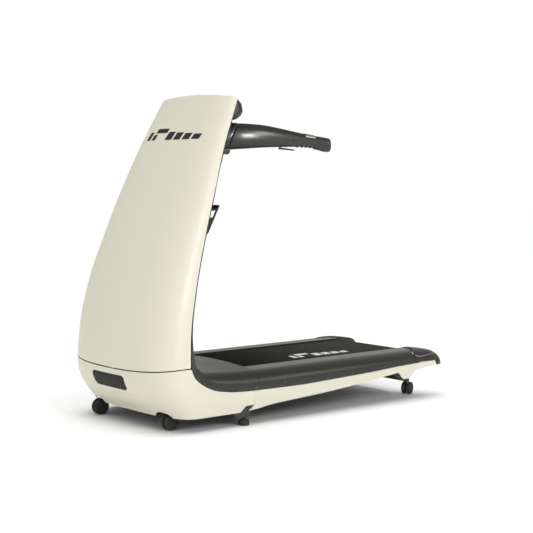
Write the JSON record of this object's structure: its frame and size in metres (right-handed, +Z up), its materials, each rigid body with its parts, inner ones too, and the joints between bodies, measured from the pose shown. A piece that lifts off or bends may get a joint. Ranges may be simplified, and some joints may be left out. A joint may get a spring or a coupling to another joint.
{
  "type": "treadmill",
  "caption": "Electric running treadmill with a tall leaning one-piece front shell, curved side arms, a flat belt deck with dark side covers and rear caps, on swivel castors.",
  "frame": {"origin": "bottom centre of the bounding box, on the floor under the middle of the machine", "axes": "+Z up; -Y is the front with the tall shell, +Y is the rear end of the deck; X is across, the two sides are mirror images"},
  "size_m": [0.7968, 1.7089, 1.44],
  "materials": {
    "cream_shell": "satin cream moulding",
    "dark_gloss": "semi-gloss near-black moulding",
    "dark_matt": "matt textured near-black moulding",
    "belt_fabric": "fine diamond-texture belt face",
    "rail_strip": "warm grey ribbed strip",
    "rubber": "matt rubber",
    "painted_steel": "black powder coat",
    "steel": "brushed",
    "chrome": "polished",
    "aluminium": "cast, plain",
    "deck_wood": "waxed fibreboard",
    "display_glass": "black display window",
    "red": "semi-gloss",
    "green": "semi-gloss"
  },
  "bodies": {
    "base": {"upper_shell": "cream_shell", "lower_shell": "cream_shell", "side_skirt_L": "cream_shell", "side_skirt_R": "cream_shell", "motor_hood": "dark_gloss", "column_cover": "dark_gloss", "side_cover_L": "dark_gloss", "side_cover_R": "dark_gloss", "rear_cap_L": "dark_gloss", "rear_cap_R": "dark_gloss", "console_housing": "dark_gloss", "handlebar_collar_L": "dark_gloss", "handlebar_collar_R": "dark_gloss", "handlebar_L": "dark_gloss", "handlebar_R": "dark_gloss", "air_grille": "dark_matt", "rail_base_L": "dark_matt", "rail_base_R": "dark_matt", "belly_pan": "dark_matt", "top_cap": "dark_matt", "bottle_holder_L": "dark_matt", "bottle_holder_R": "dark_matt", "mains_inlet": "dark_matt", "rear_trim_L": "chrome", "rear_trim_R": "chrome", "foot_rail_L": "rail_strip", "foot_rail_R": "rail_strip", "running_belt": "belt_fabric", "deck_board": "deck_wood", "deck_cushion_L": "rubber", "deck_cushion_R": "rubber", "drive_belt": "rubber", "front_axle": "steel", "rear_axle": "steel", "pulse_plate_L": "steel", "pulse_plate_R": "steel", "base_frame": "painted_steel", "upright_frame": "painted_steel", "drive_motor": "painted_steel", "controller": "aluminium", "console_display": "display_glass"},
    "front_roller": {"front_roller": "steel"},
    "rear_roller": {"rear_roller": "steel"},
    "motor_rotor": {"motor_rotor": "steel"},
    "paddle_L": {"speed_paddle_L": "dark_matt"},
    "paddle_R": {"speed_paddle_R": "dark_matt"},
    "foot_L": {"levelling_foot_L": "rubber"},
    "foot_R": {"levelling_foot_R": "rubber"},
    "start_button": {"start_button": "green"},
    "stop_button": {"stop_button": "red"},
    "safety_key": {"safety_key": "red"},
    "power_switch": {"power_switch": "red"},
    "front_fork_L": {"front_castor_L_fork": "dark_matt"},
    "front_wheels_L": {"front_castor_L_wheels": "rubber"},
    "front_fork_R": {"front_castor_R_fork": "dark_matt"},
    "front_wheels_R": {"front_castor_R_wheels": "rubber"},
    "rear_fork_L": {"rear_castor_L_fork": "dark_matt"},
    "rear_wheels_L": {"rear_castor_L_wheels": "rubber"},
    "rear_fork_R": {"rear_castor_R_fork": "dark_matt"},
    "rear_wheels_R": {"rear_castor_R_wheels": "rubber"}
  },
  "joints": [
    {"name": "front_roller_spin", "type": "hinge", "parent": "base", "child": "front_roller", "pos_m": [0, -0.4387, 0.1951], "axis": [1, 0, 0], "continuous": true},
    {"name": "rear_roller_spin", "type": "hinge", "parent": "base", "child": "rear_roller", "pos_m": [0, 0.7163, 0.1971], "axis": [1, 0, 0], "continuous": true},
    {"name": "motor_spin", "type": "hinge", "parent": "base", "child": "motor_rotor", "pos_m": [0, -0.6037, 0.148], "axis": [1, 0, 0], "continuous": true},
    {"name": "front_swivel_L", "type": "hinge", "parent": "base", "child": "front_fork_L", "pos_m": [0.25, -0.7147, 0.06], "axis": [0, 0, 1], "continuous": true},
    {"name": "front_wheels_L", "type": "hinge", "parent": "front_fork_L", "child": "front_wheels_L", "pos_m": [0.25, -0.6952, 0.036], "axis": [1, 0, 0], "continuous": true},
    {"name": "rear_swivel_L", "type": "hinge", "parent": "base", "child": "rear_fork_L", "pos_m": [0.258, 0.7213, 0.06], "axis": [0, 0, 1], "continuous": true},
    {"name": "rear_wheels_L", "type": "hinge", "parent": "rear_fork_L", "child": "rear_wheels_L", "pos_m": [0.25292, 0.73327, 0.03], "axis": [0.9205, 0.3907, 0], "continuous": true},
    {"name": "speed_paddle_L", "type": "hinge", "parent": "base", "child": "paddle_L", "pos_m": [0.31834, -0.14477, 1.2124], "axis": [0.9391, -0.3436, 0], "range_deg": [0, 5], "stiffness_Nm_per_rad": 0.6, "springref_deg": -3.44},
    {"name": "levelling_foot_L", "type": "slide", "parent": "base", "child": "foot_L", "axis": [0, 0, 1], "range_m": [0, 0.008]},
    {"name": "front_swivel_R", "type": "hinge", "parent": "base", "child": "front_fork_R", "pos_m": [-0.25, -0.7147, 0.06], "axis": [0, 0, 1], "continuous": true},
    {"name": "front_wheels_R", "type": "hinge", "parent": "front_fork_R", "child": "front_wheels_R", "pos_m": [-0.25, -0.7342, 0.036], "axis": [1, 0, 0], "continuous": true},
    {"name": "rear_swivel_R", "type": "hinge", "parent": "base", "child": "rear_fork_R", "pos_m": [-0.258, 0.7213, 0.06], "axis": [0, 0, 1], "continuous": true},
    {"name": "rear_wheels_R", "type": "hinge", "parent": "rear_fork_R", "child": "rear_wheels_R", "pos_m": [-0.25292, 0.73327, 0.03], "axis": [0.9205, -0.3907, 0], "continuous": true},
    {"name": "speed_paddle_R", "type": "hinge", "parent": "base", "child": "paddle_R", "pos_m": [-0.31834, -0.14477, 1.2124], "axis": [0.9391, 0.3436, 0], "range_deg": [0, 5], "stiffness_Nm_per_rad": 0.6, "springref_deg": -3.44},
    {"name": "levelling_foot_R", "type": "slide", "parent": "base", "child": "foot_R", "axis": [0, 0, 1], "range_m": [0, 0.008]},
    {"name": "start_button_press", "type": "slide", "parent": "base", "child": "start_button", "axis": [0, -0.903, -0.4296], "range_m": [0, 0.0015], "stiffness_N_per_m": 300, "springref_m": -0.0004},
    {"name": "stop_button_press", "type": "slide", "parent": "base", "child": "stop_button", "axis": [0, -0.903, -0.4296], "range_m": [0, 0.0015], "stiffness_N_per_m": 300, "springref_m": -0.0004},
    {"name": "safety_key_pull", "type": "slide", "parent": "base", "child": "safety_key", "axis": [0, 0.6727, -0.7399], "range_m": [0, 0.02]},
    {"name": "power_switch_rock", "type": "hinge", "parent": "base", "child": "power_switch", "pos_m": [-0.381, -0.4967, 0.111], "axis": [0, 0, 1], "range_deg": [0, 14]}
  ],
  "couplings": [
    {"joint": "rear_roller_spin", "follows": "front_roller_spin", "ratio": 1.0833},
    {"joint": "motor_spin", "follows": "front_roller_spin", "ratio": 1.8}
  ]
}
